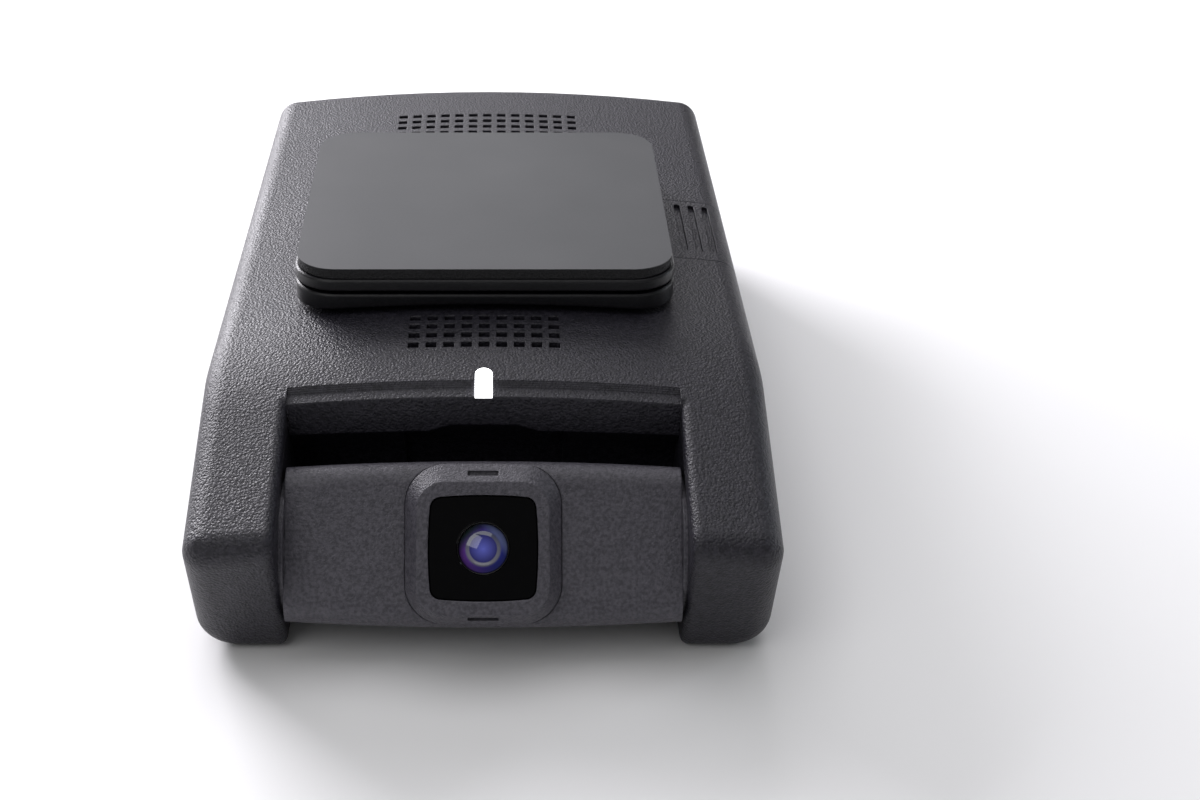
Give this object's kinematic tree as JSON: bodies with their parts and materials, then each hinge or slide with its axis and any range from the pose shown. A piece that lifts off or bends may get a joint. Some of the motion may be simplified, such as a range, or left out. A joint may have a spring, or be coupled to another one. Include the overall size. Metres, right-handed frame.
{
  "type": "dash camera",
  "caption": "Windscreen dash camera with a tilting lens barrel between two arms, a slide-on adhesive mount and a memory card door.",
  "frame": {"origin": "centre of the underside of the whole object, at rest on its cabin-side face", "axes": "+X to the right seen from the lens end, -Y towards the lens end, +Z out of the windscreen side"},
  "size_m": [0.0618, 0.1035, 0.0319],
  "materials": {
    "body_plastic": "fine grained moulding, dark charcoal",
    "barrel_plastic": "fine grained moulding, dark charcoal",
    "mount_plastic": "smooth black moulding",
    "foam": "black adhesive foam",
    "liner": "smooth grey film",
    "button_plastic": "fine grained moulding",
    "window_glass": "polished black",
    "lens_glass": "coated optical glass",
    "black_plastic": "black moulding",
    "board": "green solder mask",
    "steel": "nickel plated",
    "washer_plastic": "natural low-friction plastic",
    "ribbon": "amber film",
    "sensor_package": "dark package with a clear lid",
    "antenna_ceramic": "cream ceramic with a metal face",
    "heat_metal": "satin extrusion",
    "thermal_rubber": "soft grey-blue pad",
    "capacitor_sleeve": "dark blue sleeve",
    "light_pipe": "frosted white guide, lit",
    "lamp": "white lamp package"
  },
  "bodies": {
    "housing": {"antenna_jack": "black_plastic", "board_screws": "steel", "bottom_cover": "body_plastic", "button_board": "board", "camera_port": "steel", "card_socket": "steel", "clock_cell": "steel", "dc_jack": "black_plastic", "detent_leaf": "steel", "heat_spreader": "heat_metal", "housing_screws": "steel", "lamp_board": "board", "light_guide": "light_pipe", "main_board": "board", "memory_card": "black_plastic", "memory_chips": "black_plastic", "microphone": "steel", "mount_shoe": "mount_plastic", "patch_antenna": "antenna_ceramic", "pivot_cheek_left": "body_plastic", "pivot_cheek_right": "body_plastic", "processor": "black_plastic", "ribbon_tail": "ribbon", "service_port": "steel", "shoe_screws": "steel", "speaker": "black_plastic", "status_lamp": "lamp", "supercapacitors": "capacitor_sleeve", "tact_switches": "black_plastic", "thermal_pad": "thermal_rubber", "upper_housing": "body_plastic", "wireless_module": "steel"},
    "barrel": {"barrel_front_shell": "barrel_plastic", "barrel_rear_shell": "barrel_plastic", "barrel_screws": "steel", "hub_left": "barrel_plastic", "hub_right": "barrel_plastic", "hub_washers": "washer_plastic", "hub_clips": "steel", "lens_bezel": "barrel_plastic", "lens_window": "window_glass", "lens_tube": "black_plastic", "front_lens": "lens_glass", "middle_lens": "lens_glass", "rear_lens": "lens_glass", "lens_holder": "black_plastic", "image_sensor": "sensor_package", "sensor_board": "board", "sensor_ribbon": "ribbon"},
    "bracket": {"mount_bracket": "mount_plastic", "adhesive_pad": "foam", "pad_liner": "liner"},
    "card_door": {"memory_card_door": "body_plastic"},
    "record_button": {"record_button": "button_plastic"},
    "function_button_1": {"function_button_1": "button_plastic"},
    "function_button_2": {"function_button_2": "button_plastic"},
    "function_button_3": {"function_button_3": "button_plastic"}
  },
  "joints": [
    {"name": "barrel_tilt", "type": "hinge", "parent": "housing", "child": "barrel", "pos_m": [0, -0.04145, 0.0103], "axis": [1, 0, 0], "range_deg": [-45, 45]},
    {"name": "bracket_slide", "type": "slide", "parent": "housing", "child": "bracket", "axis": [0, 1, 0], "range_m": [0, 0.036]},
    {"name": "card_door_slide", "type": "slide", "parent": "housing", "child": "card_door", "axis": [1, 0, 0], "range_m": [0, 0.01]},
    {"name": "record_button_press", "type": "slide", "parent": "housing", "child": "record_button", "axis": [0, 0, 1], "range_m": [0, 0.00025], "stiffness_N_per_m": 3000},
    {"name": "function_button_1_press", "type": "slide", "parent": "housing", "child": "function_button_1", "axis": [0, 0, 1], "range_m": [0, 0.00025], "stiffness_N_per_m": 3000},
    {"name": "function_button_2_press", "type": "slide", "parent": "housing", "child": "function_button_2", "axis": [0, 0, 1], "range_m": [0, 0.00025], "stiffness_N_per_m": 3000},
    {"name": "function_button_3_press", "type": "slide", "parent": "housing", "child": "function_button_3", "axis": [0, 0, 1], "range_m": [0, 0.00025], "stiffness_N_per_m": 3000}
  ]
}
